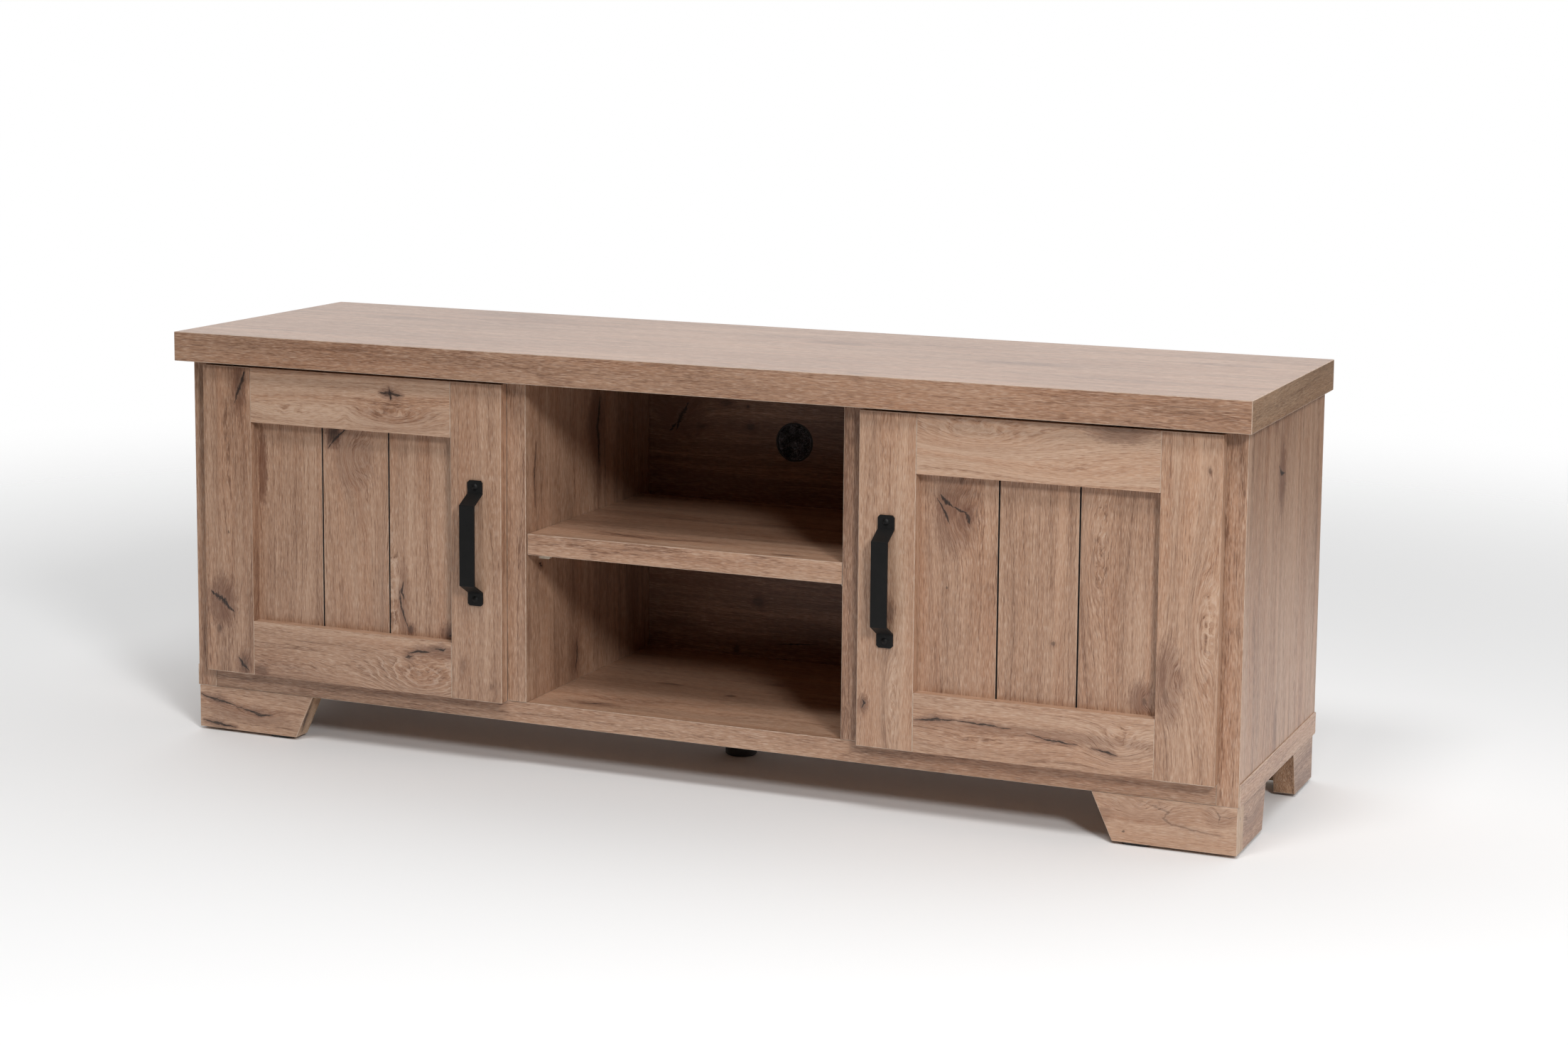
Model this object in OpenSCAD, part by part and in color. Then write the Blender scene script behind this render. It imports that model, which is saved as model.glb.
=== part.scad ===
// Media cabinet: two framed doors either side of an open bay with one shelf, on splayed board feet.
// Millimetres, +Z up, front towards -Y, origin on the floor at the centre of the whole outline.

/* [Overall] */
// Width of the top panel
width = 1500; // [1350:10:1800]
// Depth of the top panel, front to back
depth = 428; // [400:1:480]
// Height of the side panels, from the feet to the top panel
body_h = 458; // [440:1:520]
// Thickness of the top panel
top_t = 40; // [36:1:50]
// Thickness of every other board of the carcass
board_t = 28; // [26:1:30]
// How far the top panel stands past each side panel
top_over_side = 10.4; // [5:0.1:20]
// How far the top panel stands in front of the side panels
top_over_front = 31; // [28:0.5:45]

/* [Middle bay] */
// Clear width of the open bay
bay_w = 449.4; // [380:0.1:520]
// Underside of the shelf above the floor of the bay
shelf_rise = 199; // [150:1:240]
// How far the middle shelf stands behind the front edge of its bay
shelf_setback = 2.5; // [1:0.5:12]
// Diameter of the cable hole in the back panel
cable_d = 56; // [50:1:64]
// Height of the cable hole above the floor of the bay
cable_rise = 312; // [290:1:330]

/* [Doors] */
// Thickness of the door frame's stiles and rails
frame_t = 16; // [15:0.5:18]
// Thickness of the grooved board behind the frame
door_panel_t = 10; // [9:0.5:12]
// Width of the stiles
stile_w = 75.5; // [70:0.5:90]
// Height of the rails
rail_h = 75; // [65:0.5:90]
// Gap between the back of the frame and the edges of the carcass
door_play = 1; // [1:0.1:3]
// Gap between the top of a door and the top panel
door_top_gap = 4.5; // [3:0.5:8]

/* [Handles] */
// Overall height of a handle
handle_h = 168; // [140:1:200]
// Width of the handle's strap
handle_w = 22; // [18:1:26]
// How far the grip stands in front of the door
handle_reach = 25; // [20:1:30]
// Thickness of the handle's strap
strap_t = 3; // [2.5:0.1:4]

/* [Feet] */
// Height of the foot boards
foot_h = 59; // [50:1:80]
// Height of the plastic glides under the feet
glide_h = 4; // [3:0.5:6]
// Width of the front foot board at its bottom
foot_front_w = 156; // [130:1:180]
// How much wider the front foot board is at its top
foot_front_splay = 27; // [10:1:40]
// Depth of the front foot at its bottom, from the front of the carcass
foot_side_d = 124.5; // [110:0.5:135]
// Depth of the rear foot board at its bottom
foot_rear_d = 93.5; // [85:0.5:110]
// How much deeper the side and rear foot boards are at their tops
foot_side_splay = 14; // [5:1:20]

/* [Hidden] */
$fn = 48;
SMALL_FN = 24;
EPS = 0.01;
PLAY = 0.1;

// Levels above the floor
body_z = glide_h + foot_h;
floor_z = body_z + board_t;
top_z = body_z + body_h;
shelf_z = floor_z + shelf_rise;
cable_z = floor_z + cable_rise;

// Lines along the depth: the origin is halfway between the handles' grips and the rear of the top
grip_over_top = max(0, handle_reach + frame_t + door_play - top_over_front);
top_front = -(depth - grip_over_top) / 2;
top_rear = top_front + depth;
front_y = top_front + top_over_front;
rear_y = top_rear - 1.5;
back_t = 8;
back_inset = 13.5;
back_y = rear_y - back_inset - back_t;
door_y = front_y - door_play - frame_t;
door_back_y = door_y + frame_t + door_panel_t;
shelf_back_y = back_y - 26;

// Lines along the width
side_x = width / 2 - top_over_side;
side_in_x = side_x - board_t;
bay_x = bay_w / 2;
divider_x = bay_x + board_t;
divider_mid = bay_x + board_t / 2;
side_mid = side_x - board_t / 2;

// Doors
door_outer_lap = 2;
door_inner_lap = 0.5;
door_x1 = side_in_x + door_outer_lap;
door_x0 = divider_x - door_inner_lap;
door_z0 = floor_z - 0.5;
door_z1 = top_z - door_top_gap;
panel_gap = 2.5;
groove_w = 2.5;
groove_d = 2;
stile_mid = door_x0 + stile_w / 2;
pane_w = door_x1 - door_x0 - 2 * stile_w;
handle_z = (door_z0 + door_z1) / 2;
plate_h = 17.3;
bend_h = 12.8;
screw_pitch = handle_h - plate_h;
handle_screw_d = 4;

// Concealed hinges: distances inwards from the door's outer edge and backwards from its front
hinge_rise = 85;
hinge_levels = [door_z0 + hinge_rise, door_z1 - hinge_rise];
cup_r = 17.5;
cup_depth = 13.5;
cup_wall = 1.2;
cup_in = 27;
cup_x = door_x1 - cup_in;
flange_t = 1.2;
cup_screw_pitch = 48;
arm_gap = 0.4;
plate_t = 8;
plate_y0 = front_y + 24;
plate_len = 52;
plate_w = 32;
arm_w = 14;
arm_deep = 10;

// Knock-down fittings
cam_r = 7.5;
cam_drop = 34;
cam_in = 20;
bolt_r = 3.5;
bolt_up = 11;
dowel_r = 4;
dowel_h = 18;
cam_ys = [front_y + 50, rear_y - 60];
top_dowel_ys = [front_y + 90, rear_y - 100];
side_screw_ys = [front_y + 140, rear_y - 120];
side_dowel_ys = [front_y + 30, rear_y - 20];
divider_screw_ys = [front_y + 90, back_y - 66];
divider_dowel_ys = [front_y + 30, back_y - 26];
base_screw_r = 3.2;
base_head_r = 5;
base_head_h = 3;
base_screw_len = 62;
back_screw_zs = [floor_z + 60, (floor_z + top_z) / 2, top_z - 60];
back_screw_r = 1.75;
back_screw_len = 24;

// Shelves and their supports
side_shelf_t = 16;
side_shelf_y = front_y + 32;
shelf_play = 1;
pin_r = 2.5;
pin_len = 8;
tab_out = 16;
tab_deep = 7;
tab_h = 11;
support_ys = [front_y + 41, shelf_back_y - 40];
spare_drop = 18;
spare_depth = 9;

// Feet
foot_inset = 0.8;
foot_x = side_x - foot_inset;
foot_rear_y = rear_y - 3.8;
block_s = 40;
block_lift = 6;
block_ys = [front_y + board_t, foot_rear_y - 60];
block_screw_r = 2;
block_screw_len = 74;
front_dowel_xs = [side_in_x - 52, side_in_x - 122];
side_dowel_foot_ys = [front_y + 84, front_y + 112];
rear_dowel_foot_ys = [foot_rear_y - 30, foot_rear_y - 75];
glide_len = 38;
glide_w = 20;
glide_in = 9;
centre_y = front_y + (rear_y - front_y) / 2;
pad_r = 21.5;
pad_h = 12;
stem_r = 5;
stem_play = 0.05;
stem_top = body_z - 1;
sleeve_r = 18;
sleeve_flange_r = 30;
sleeve_flange_t = 4;
sleeve_z = glide_h + 22;

// Cover strips over the screws at the foot of each side panel
band_t = 1.6;
band_h = 29;
band_corner = 4;

// Cable outlet
ring_wall = 2.5;
ring_lip = 3;
ring_lip_t = 1.5;
brush_t = 2;
brush_eye_r = 9;

OAK = "#b08c6c";
OAK_EDGE = "#bb9a78";
BLACK = "#1b1b1b";
STEEL = "#9a9c9e";
CREAM = "#ddd6c6";

// A rectangular board between two opposite corners
module slab(lo, hi) {
    translate(lo)
        cube(hi - lo);
}

// The right-hand piece as drawn (s = 1), or its mirror image on the left (s = -1)
module hand(s) {
    if (s > 0) {
        children();
    } else {
        mirror([1, 0, 0])
            children();
    }
}

// Both hands of a piece
module both() {
    for (s = [-1, 1])
        hand(s)
            children();
}

// A round bar along one axis, starting at a point
module bar_x(at, r, len, fn = SMALL_FN) {
    translate(at)
        rotate([0, 90, 0])
            cylinder(h = len, r = r, $fn = fn);
}

module bar_y(at, r, len, fn = SMALL_FN) {
    translate(at)
        rotate([-90, 0, 0])
            cylinder(h = len, r = r, $fn = fn);
}

module bar_z(at, r, len, fn = SMALL_FN) {
    translate(at)
        cylinder(h = len, r = r, $fn = fn);
}

// ---- Knock-down fittings, right-hand half; grow widens a fitting to make its bore

module cam_bolts_half(grow = 0) {
    for (x = [side_mid, divider_mid], y = cam_ys)
        bar_z([x, y, top_z - cam_drop - bolt_r - grow], bolt_r + grow, cam_drop + bolt_r + bolt_up + grow);
}

// Cams sit in the faces towards the door's bay, so the open bay shows none
module cam_bodies_half(grow = 0) {
    for (y = cam_ys) {
        bar_x([side_in_x, y, top_z - cam_drop], cam_r + grow, cam_in, $fn);
        bar_x([divider_x - cam_in, y, top_z - cam_drop], cam_r + grow, cam_in, $fn);
    }
}

module top_dowels_half(grow = 0) {
    for (x = [side_mid, divider_mid], y = top_dowel_ys)
        bar_z([x, y, top_z - dowel_h], dowel_r + grow, 2 * dowel_h);
}

module base_dowels_half(grow = 0) {
    for (y = side_dowel_ys)
        bar_x([side_in_x - 22, y, body_z + board_t / 2], dowel_r + grow, 36);
    for (y = divider_dowel_ys)
        bar_z([divider_mid, y, floor_z - 16], dowel_r + grow, 36);
}

module base_screws_half(grow = 0) {
    mid_z = body_z + board_t / 2;
    for (y = side_screw_ys) {
        bar_x([side_x - base_screw_len, y, mid_z], base_screw_r + grow, base_screw_len);
        bar_x([side_x - base_head_h, y, mid_z], base_head_r + grow, base_head_h);
    }
    for (y = divider_screw_ys) {
        bar_z([divider_mid, y, body_z], base_screw_r + grow, base_screw_len);
        bar_z([divider_mid, y, body_z], base_head_r + grow, base_head_h);
    }
}

module back_screws_half(grow = 0) {
    for (z = back_screw_zs) {
        bar_y([divider_mid, back_y + back_t - back_screw_len, z], back_screw_r + grow, back_screw_len);
        bar_y([divider_mid, back_y + back_t, z], 2 * back_screw_r, 2);
    }
}

module foot_dowels_half(grow = 0) {
    for (x = front_dowel_xs)
        bar_z([x, front_y + board_t / 2, body_z - 20], dowel_r + grow, 36);
    for (y = concat(side_dowel_foot_ys, rear_dowel_foot_ys))
        bar_z([foot_x - board_t / 2, y, body_z - 20], dowel_r + grow, 36);
}

module foot_screws_half(grow = 0) {
    for (y = block_ys)
        bar_z([foot_x - board_t - block_s / 2, y + block_s / 2, glide_h + block_lift],
            block_screw_r + grow, block_screw_len);
}

module centre_screws_all(grow = 0) {
    for (a = [45:90:315])
        translate([0, centre_y, body_z - sleeve_flange_t])
            rotate([0, 0, a])
                bar_z([sleeve_flange_r - 6, 0, 0], back_screw_r + grow, 20);
}

// Support pins: two levels of the hole row, the used one and the spare one below it
module pins(face_x, out, level, grow = 0) {
    for (y = support_ys)
        bar_x([out > 0 ? face_x : face_x - pin_len, y, level - tab_h / 2], pin_r + grow, pin_len);
}

module spare_holes(face_x, out) {
    for (y = support_ys)
        bar_x([out > 0 ? face_x - EPS : face_x - spare_depth, y, shelf_z - spare_drop], pin_r,
            spare_depth + EPS);
}

module hinge_plate_screws_half(grow = 0) {
    for (z = hinge_levels, dz = [-11, 11])
        bar_x([side_in_x - plate_t / 2, plate_y0 + plate_len / 2, z + dz], back_screw_r + grow, 17);
}

// ---- Carcass

module top_panel() {
    color(OAK)
        difference() {
            slab([-width / 2, top_front, top_z], [width / 2, top_rear, top_z + top_t]);
            slab([-side_in_x - 7, back_y, top_z - 1], [side_in_x + 7, back_y + back_t, top_z + 7]);
            both() {
                cam_bolts_half(PLAY);
                top_dowels_half(PLAY);
            }
        }
}

module side_panel() {
    color(OAK)
        difference() {
            slab([side_in_x, front_y, body_z], [side_x, rear_y, top_z]);
            slab([side_in_x - 1, back_y, floor_z - 7], [side_in_x + 7, back_y + back_t, top_z + 1]);
            cam_bolts_half(PLAY);
            cam_bodies_half(PLAY);
            top_dowels_half(PLAY);
            base_dowels_half(PLAY);
            base_screws_half(PLAY);
            foot_dowels_half(PLAY);
            hinge_plate_screws_half(PLAY);
            pins(side_in_x, 1, shelf_z, PLAY);
            spare_holes(side_in_x, 1);
        }
}

module side_left() hand(-1) side_panel();
module side_right() hand(1) side_panel();

// A thin strip with rounded rear corners, along the foot of the side panel's outer face
module side_band() {
    color(OAK_EDGE)
        translate([side_x, front_y, body_z])
            rotate([90, 0, 90])
                linear_extrude(band_t)
                    union() {
                        square([rear_y + 1 - front_y - band_corner, band_h]);
                        translate([rear_y + 1 - front_y - band_corner, band_corner])
                            circle(band_corner);
                        translate([rear_y + 1 - front_y - band_corner, band_h - band_corner])
                            circle(band_corner);
                        translate([rear_y + 1 - front_y - band_corner, band_corner])
                            square([band_corner, band_h - 2 * band_corner]);
                    }
}

module side_band_left() hand(-1) side_band();
module side_band_right() hand(1) side_band();

module divider() {
    color(OAK)
        difference() {
            slab([bay_x, front_y, floor_z], [divider_x, back_y, top_z]);
            cam_bolts_half(PLAY);
            cam_bodies_half(PLAY);
            top_dowels_half(PLAY);
            base_dowels_half(PLAY);
            base_screws_half(PLAY);
            back_screws_half(PLAY);
            pins(divider_x, -1, shelf_z, PLAY);
            pins(bay_x, 1, shelf_z, PLAY);
            spare_holes(bay_x, 1);
            spare_holes(divider_x, -1);
        }
}

module divider_left() hand(-1) divider();
module divider_right() hand(1) divider();

module bottom_board() {
    color(OAK)
        difference() {
            slab([-side_in_x, front_y + 1, body_z], [side_in_x, rear_y, floor_z]);
            slab([-side_in_x - 1, back_y, floor_z - 7], [side_in_x + 1, back_y + back_t, floor_z + 1]);
            both() {
                base_dowels_half(PLAY);
                base_screws_half(PLAY);
                foot_dowels_half(PLAY);
                foot_screws_half(PLAY);
            }
            centre_screws_all(PLAY);
            bar_z([0, centre_y, body_z - 1], stem_r + 1, 12);
        }
}

module back_panel() {
    color(OAK)
        difference() {
            slab([-side_in_x - 6, back_y, floor_z - 6], [side_in_x + 6, back_y + back_t, top_z + 6]);
            bar_y([0, back_y - 1, cable_z], cable_d / 2, back_t + 2, 96);
            both()
                back_screws_half(PLAY);
        }
}

module shelf_middle() {
    color(OAK)
        slab([-bay_x + shelf_play, front_y + shelf_setback, shelf_z],
            [bay_x - shelf_play, shelf_back_y, shelf_z + board_t]);
}

module side_shelf() {
    color(OAK)
        slab([divider_x + shelf_play, side_shelf_y, shelf_z],
            [side_in_x - shelf_play, shelf_back_y, shelf_z + side_shelf_t]);
}

module shelf_left() hand(-1) side_shelf();
module shelf_right() hand(1) side_shelf();

// A tab that carries the shelf, with its lower free corner cut off, and the pin it hangs on
module shelf_support(face_x, out) {
    tab_x = out > 0 ? face_x - tab_out : face_x + tab_out;
    for (y = support_ys)
        translate([0, y + tab_deep / 2, shelf_z - tab_h])
            rotate([90, 0, 0])
                linear_extrude(tab_deep)
                    polygon([
                        [face_x, 0],
                        [tab_x + (out > 0 ? 2 : -2), 0],
                        [tab_x, 2],
                        [tab_x, tab_h],
                        [face_x, tab_h]
                    ]);
    pins(face_x, out, shelf_z);
}

module shelf_supports_middle() {
    color(CREAM)
        both()
            shelf_support(bay_x, 1);
}

module shelf_supports_sides() {
    color(CREAM)
        both() {
            shelf_support(divider_x, -1);
            shelf_support(side_in_x, 1);
        }
}

// ---- Feet

module front_foot_board() {
    color(OAK)
        difference() {
            translate([0, front_y + board_t, 0])
                rotate([90, 0, 0])
                    linear_extrude(board_t)
                        polygon([
                            [foot_x, glide_h],
                            [foot_x, body_z],
                            [foot_x - foot_front_w - foot_front_splay, body_z],
                            [foot_x - foot_front_w, glide_h]
                        ]);
            foot_dowels_half(PLAY);
        }
}

// A board under the side panel, drawn from points of depth and height
module side_foot_board(outline) {
    color(OAK)
        difference() {
            translate([foot_x - board_t, 0, 0])
                rotate([90, 0, 90])
                    linear_extrude(board_t)
                        polygon(outline);
            foot_dowels_half(PLAY);
        }
}

side_foot_outline = [
    [front_y + board_t, glide_h],
    [front_y + foot_side_d, glide_h],
    [front_y + foot_side_d + foot_side_splay, body_z],
    [front_y + board_t, body_z]
];
rear_foot_outline = [
    [foot_rear_y - foot_rear_d, glide_h],
    [foot_rear_y, glide_h],
    [foot_rear_y, body_z],
    [foot_rear_y - foot_rear_d - foot_side_splay, body_z]
];

module foot_front_board_left() hand(-1) front_foot_board();
module foot_front_board_right() hand(1) front_foot_board();
module foot_side_board_left() hand(-1) side_foot_board(side_foot_outline);
module foot_side_board_right() hand(1) side_foot_board(side_foot_outline);
module foot_rear_board_left() hand(-1) side_foot_board(rear_foot_outline);
module foot_rear_board_right() hand(1) side_foot_board(rear_foot_outline);

// Square blocks inside the feet, screwed up into the bottom board
module foot_blocks() {
    block_x = foot_x - board_t;
    color(OAK_EDGE)
        both()
            difference() {
                for (y = block_ys)
                    slab([block_x - block_s, y, glide_h + block_lift], [block_x, y + block_s, body_z]);
                foot_screws_half(PLAY);
            }
}

// A flat glide with round ends, centred on x and y
module glide(at, along_x) {
    half_run = (glide_len - glide_w) / 2;
    translate([at[0], at[1], 0])
        rotate([0, 0, along_x ? 0 : 90])
            union() {
                translate([-half_run, -glide_w / 2, 0])
                    cube([2 * half_run, glide_w, glide_h]);
                for (s = [-1, 1])
                    translate([s * half_run, 0, 0])
                        cylinder(h = glide_h, r = glide_w / 2);
            }
}

module foot_glides() {
    rail_x = foot_x - board_t / 2;
    near_end = glide_in + glide_len / 2;
    color(BLACK)
        both() {
            glide([foot_x - foot_front_w + near_end, front_y + board_t / 2], true);
            glide([rail_x, front_y + foot_side_d - near_end], false);
            glide([rail_x, foot_rear_y - near_end], false);
        }
}

module centre_foot_sleeve() {
    color(BLACK)
        difference() {
            union() {
                bar_z([0, centre_y, body_z - sleeve_flange_t], sleeve_flange_r, sleeve_flange_t, $fn);
                bar_z([0, centre_y, sleeve_z], sleeve_r, body_z - sleeve_z, $fn);
            }
            bar_z([0, centre_y, sleeve_z - 1], stem_r + stem_play, body_z - sleeve_z + 2, $fn);
            centre_screws_all(PLAY);
        }
}

// The pad that stands on the floor, and the threaded stem that turns in the sleeve
module centre_foot() {
    color(BLACK)
        translate([0, centre_y, 0])
            rotate_extrude()
                polygon([
                    [0, 0],
                    [pad_r - 1.5, 0],
                    [pad_r, 1.5],
                    [pad_r, pad_h - 2],
                    [pad_r - 2, pad_h],
                    [stem_r, pad_h],
                    [stem_r, stem_top - 1],
                    [stem_r - 1, stem_top],
                    [0, stem_top]
                ]);
}

// ---- Doors, right-hand

module cup_bores() {
    for (z = hinge_levels)
        bar_y([cup_x, door_back_y - cup_depth, z], cup_r + PLAY, cup_depth + 1, $fn);
}

module cup_screws(grow = 0) {
    for (z = hinge_levels, dz = [-0.5, 0.5])
        bar_y([cup_x - 9.5, door_back_y + flange_t - 13, z + dz * cup_screw_pitch], back_screw_r + grow, 13);
}

module handle_screws(grow = 0) {
    for (dz = [-0.5, 0.5])
        bar_y([stile_mid, door_y - strap_t, handle_z + dz * screw_pitch],
            handle_screw_d / 2 + grow, strap_t + 13);
}

module stile_outer() {
    color(OAK)
        difference() {
            slab([door_x1 - stile_w, door_y, door_z0], [door_x1, door_y + frame_t, door_z1]);
            cup_bores();
            cup_screws(PLAY);
        }
}

module stile_inner() {
    color(OAK)
        difference() {
            slab([door_x0, door_y, door_z0], [door_x0 + stile_w, door_y + frame_t, door_z1]);
            handle_screws(PLAY);
        }
}

module rail(z) {
    color(OAK)
        slab([door_x0 + stile_w, door_y, z], [door_x1 - stile_w, door_y + frame_t, z + rail_h]);
}

// One board behind the frame, with V grooves that divide it into three planks
module door_panel() {
    color(OAK)
        difference() {
            slab([divider_x + panel_gap, door_y + frame_t, floor_z + panel_gap],
                [side_in_x - panel_gap, door_back_y, door_z1 - panel_gap]);
            for (third = [1, 2])
                translate([door_x0 + stile_w + pane_w * third / 3, door_y + frame_t, floor_z])
                    linear_extrude(door_z1 - floor_z)
                        polygon([[-groove_w / 2, -EPS], [groove_w / 2, -EPS], [0, groove_d]]);
            cup_bores();
            cup_screws(PLAY);
        }
}

// A flat strap bent forwards between two screw plates with clipped corners
module door_handle() {
    half = handle_h / 2;
    out = handle_reach - strap_t;
    clip = 3;
    bend_z = half - plate_h;
    grip_z = bend_z - bend_h;
    color(BLACK)
        translate([stile_mid, door_y, handle_z])
            difference() {
                translate([-handle_w / 2, 0, 0])
                    rotate([90, 0, 90])
                        linear_extrude(handle_w)
                            polygon([
                                [0, half], [0, bend_z - 1], [-out, grip_z - 1],
                                [-out, -grip_z + 1], [0, -bend_z + 1], [0, -half],
                                [-strap_t, -half], [-strap_t, -bend_z], [-out - strap_t, -grip_z],
                                [-out - strap_t, grip_z], [-strap_t, bend_z], [-strap_t, half]
                            ]);
                for (sx = [-1, 1], sz = [-1, 1])
                    translate([sx * handle_w / 2, 0, sz * half])
                        rotate([0, 45, 0])
                            cube([clip * sqrt(2), 4 * strap_t, clip * sqrt(2)], center = true);
                for (sz = [-1, 1])
                    bar_y([0, -strap_t - 1, sz * screw_pitch / 2], handle_screw_d / 2 + PLAY, strap_t + 2);
            }
}

// Wood screws with low domed heads
module handle_screw_set() {
    head_r = 4.5;
    head_h = 2.4;
    ball_r = (head_r * head_r + head_h * head_h) / (2 * head_h);
    color(BLACK)
        union() {
            handle_screws();
            for (dz = [-0.5, 0.5])
                translate([stile_mid, door_y - strap_t, handle_z + dz * screw_pitch])
                    rotate([90, 0, 0])
                        intersection() {
                            translate([0, 0, head_h - ball_r])
                                sphere(ball_r);
                            cylinder(h = head_h + 1, r = head_r);
                        }
        }
}

// A pressed cup with a flange that is screwed to the door's back
module hinge_cups() {
    color(STEEL)
        for (z = hinge_levels)
            difference() {
                union() {
                    bar_y([cup_x, door_back_y - cup_depth, z], cup_r, cup_depth, $fn);
                    bar_y([cup_x, door_back_y, z], cup_r + 2.5, flange_t, $fn);
                    slab([cup_x - 14, door_back_y, z - cup_screw_pitch / 2 - 6],
                        [cup_x - 4, door_back_y + flange_t, z + cup_screw_pitch / 2 + 6]);
                }
                bar_y([cup_x, door_back_y - cup_depth + cup_wall, z], cup_r - cup_wall,
                    cup_depth + flange_t, $fn);
                for (dz = [-0.5, 0.5])
                    bar_y([cup_x - 9.5, door_back_y - 1, z + dz * cup_screw_pitch],
                        back_screw_r + PLAY, flange_t + 2);
            }
}

// The fixed arm: a channel on the mounting plate, a bridge over the cup and a nose inside it
module hinge_arms() {
    bridge_y = door_back_y + flange_t + arm_gap;
    nose_y = door_y + 17.5;
    arm_x1 = side_in_x - plate_t;
    arm_x0 = arm_x1 - arm_deep;
    nose_x1 = door_x1 - 25;
    nose_x0 = nose_x1 - 10;
    color(STEEL)
        for (z = hinge_levels)
            difference() {
                union() {
                    slab([arm_x0, bridge_y, z - arm_w / 2],
                        [arm_x1, plate_y0 + plate_len - 6, z + arm_w / 2]);
                    slab([nose_x0, bridge_y, z - arm_w / 2], [arm_x1, bridge_y + 6, z + arm_w / 2]);
                    slab([nose_x0, nose_y, z - arm_w / 2 + 1], [nose_x1, bridge_y + 6, z + arm_w / 2 - 1]);
                }
                slab([arm_x0 + 2, bridge_y + 8, z - arm_w / 2 + 2],
                    [arm_x1 + 1, plate_y0 + plate_len - 5, z + arm_w / 2 - 2]);
            }
}

module hinge_plates() {
    color(STEEL)
        difference() {
            for (z = hinge_levels)
                union() {
                    slab([side_in_x - plate_t / 2, plate_y0 + 14, z - plate_w / 2],
                        [side_in_x, plate_y0 + plate_len - 14, z + plate_w / 2]);
                    slab([side_in_x - plate_t, plate_y0, z - arm_w / 2],
                        [side_in_x, plate_y0 + plate_len, z + arm_w / 2]);
                }
            hinge_plate_screws_half(PLAY);
        }
}

module door_stile_outer_left() hand(-1) stile_outer();
module door_stile_outer_right() hand(1) stile_outer();
module door_stile_inner_left() hand(-1) stile_inner();
module door_stile_inner_right() hand(1) stile_inner();
module door_rail_top_left() hand(-1) rail(door_z1 - rail_h);
module door_rail_top_right() hand(1) rail(door_z1 - rail_h);
module door_rail_bottom_left() hand(-1) rail(door_z0);
module door_rail_bottom_right() hand(1) rail(door_z0);
module door_panel_left() hand(-1) door_panel();
module door_panel_right() hand(1) door_panel();
module door_handle_left() hand(-1) door_handle();
module door_handle_right() hand(1) door_handle();
module handle_screws_left() hand(-1) handle_screw_set();
module handle_screws_right() hand(1) handle_screw_set();
module hinge_cups_left() hand(-1) hinge_cups();
module hinge_cups_right() hand(1) hinge_cups();
module cup_screws_left() color(STEEL) hand(-1) cup_screws();
module cup_screws_right() color(STEEL) hand(1) cup_screws();
module hinge_arms_left() hand(-1) hinge_arms();
module hinge_arms_right() hand(1) hinge_arms();
module hinge_plates_left() hand(-1) hinge_plates();
module hinge_plates_right() hand(1) hinge_plates();

// ---- Fittings as solids

module hinge_plate_screws() {
    color(STEEL)
        both()
            hinge_plate_screws_half();
}

// Cams with a cross recess, open where the bolt enters them
module cam_locks() {
    color(STEEL)
        both()
            difference() {
                cam_bodies_half();
                cam_bolts_half(PLAY);
                for (y = cam_ys, x = [side_in_x, divider_x])
                    for (turn = [0, 90])
                        translate([x, y, top_z - cam_drop])
                            rotate([turn, 0, 0])
                                cube([4, 9, 1.6], center = true);
            }
}

module cam_bolts() {
    color(STEEL)
        both()
            cam_bolts_half();
}

module top_dowels() {
    color(OAK_EDGE)
        both()
            top_dowels_half();
}

module base_dowels() {
    color(OAK_EDGE)
        both()
            base_dowels_half();
}

module base_screws() {
    color(STEEL)
        both()
            base_screws_half();
}

module back_panel_screws() {
    color(STEEL)
        both()
            back_screws_half();
}

module foot_dowels() {
    color(OAK_EDGE)
        both()
            foot_dowels_half();
}

module foot_screws() {
    color(STEEL)
        both()
            foot_screws_half();
}

module centre_foot_screws() {
    color(STEEL)
        centre_screws_all();
}

// A thin ring in the cable hole, with its lip on the rear face of the back panel
module cable_ring() {
    r = cable_d / 2 - PLAY;
    color(BLACK)
        difference() {
            union() {
                bar_y([0, back_y, cable_z], r, back_t, 96);
                bar_y([0, back_y + back_t, cable_z], r + ring_lip, ring_lip_t, 96);
            }
            bar_y([0, back_y - 1, cable_z], r - ring_wall, back_t + ring_lip_t + 2, 96);
        }
}

// Soft bristles that close the ring round an open eye
module cable_brush() {
    r = cable_d / 2 - ring_wall - 2 * PLAY;
    color(BLACK)
        difference() {
            bar_y([0, back_y + 1.5, cable_z], r, brush_t, 96);
            bar_y([0, back_y, cable_z], brush_eye_r, brush_t + 3, $fn);
        }
}

top_panel();
side_left();
side_right();
side_band_left();
side_band_right();
divider_left();
divider_right();
bottom_board();
back_panel();
shelf_middle();
shelf_left();
shelf_right();
shelf_supports_middle();
shelf_supports_sides();
foot_front_board_left();
foot_front_board_right();
foot_side_board_left();
foot_side_board_right();
foot_rear_board_left();
foot_rear_board_right();
foot_blocks();
foot_glides();
centre_foot_sleeve();
centre_foot();
door_stile_outer_left();
door_stile_inner_left();
door_rail_top_left();
door_rail_bottom_left();
door_panel_left();
door_handle_left();
handle_screws_left();
hinge_cups_left();
cup_screws_left();
door_stile_outer_right();
door_stile_inner_right();
door_rail_top_right();
door_rail_bottom_right();
door_panel_right();
door_handle_right();
handle_screws_right();
hinge_cups_right();
cup_screws_right();
hinge_arms_left();
hinge_arms_right();
hinge_plates_left();
hinge_plates_right();
hinge_plate_screws();
cam_locks();
cam_bolts();
top_dowels();
base_dowels();
base_screws();
back_panel_screws();
foot_dowels();
foot_screws();
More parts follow.
